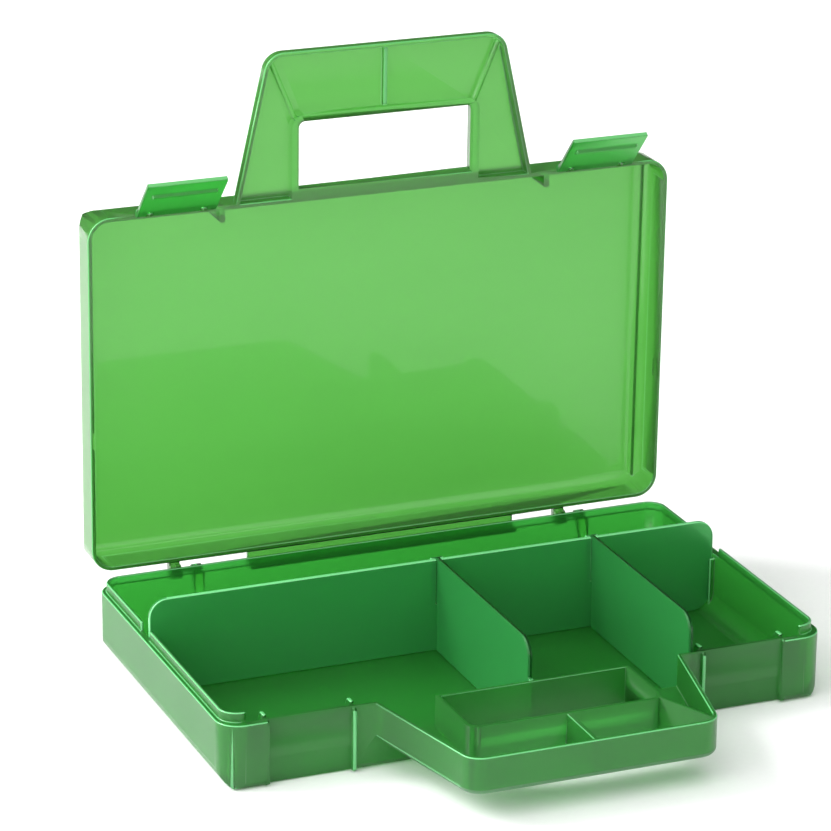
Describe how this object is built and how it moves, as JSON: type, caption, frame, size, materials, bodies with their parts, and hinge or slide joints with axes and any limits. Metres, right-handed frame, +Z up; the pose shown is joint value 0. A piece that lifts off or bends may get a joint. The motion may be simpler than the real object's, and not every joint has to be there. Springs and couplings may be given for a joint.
{
  "type": "hinged sorting case with handle",
  "caption": "Shallow hinged plastic sorting case with an open carry handle, front latches and lift-out dividers, standing open.",
  "frame": {"origin": "centre of the tray's underside, on the surface that the case stands on", "axes": "+X along the case's width, +Y towards the lid hinge, +Z up"},
  "size_m": [0.27, 0.248, 0.2573],
  "materials": {
    "tray_plastic": "translucent green moulded polypropylene, satin",
    "lid_plastic": "translucent green moulded polypropylene, satin",
    "latch_plastic": "translucent green moulded polypropylene, satin",
    "divider_plastic": "translucent green moulded polypropylene, satin"
  },
  "bodies": {
    "base": {"base_tray": "tray_plastic"},
    "lid": {"lid": "lid_plastic"},
    "left_latch": {"left_latch": "latch_plastic"},
    "right_latch": {"right_latch": "latch_plastic"},
    "long_divider": {"long_divider": "divider_plastic"},
    "centre_cross_divider": {"centre_cross_divider": "divider_plastic"},
    "right_cross_divider": {"right_cross_divider": "divider_plastic"}
  },
  "joints": [
    {"name": "lid_hinge", "type": "hinge", "parent": "base", "child": "lid", "pos_m": [0, 0.084, 0.0286], "axis": [-1, 0, 0], "range_deg": [-89.4, 0]},
    {"name": "left_latch_hinge", "type": "hinge", "parent": "lid", "child": "left_latch", "pos_m": [-0.09705, 0.07896, 0.19456], "axis": [-1, 0, 0], "range_deg": [-48, 60]},
    {"name": "right_latch_hinge", "type": "hinge", "parent": "lid", "child": "right_latch", "pos_m": [0.09705, 0.07896, 0.19456], "axis": [-1, 0, 0], "range_deg": [-48, 60]},
    {"name": "long_divider_slide", "type": "slide", "parent": "base", "child": "long_divider", "axis": [0, 0, 1], "range_m": [0, 0.045]},
    {"name": "centre_cross_divider_slide", "type": "slide", "parent": "long_divider", "child": "centre_cross_divider", "axis": [0, 0, 1], "range_m": [0, 0.045]},
    {"name": "right_cross_divider_slide", "type": "slide", "parent": "long_divider", "child": "right_cross_divider", "axis": [0, 0, 1], "range_m": [0, 0.045]}
  ]
}
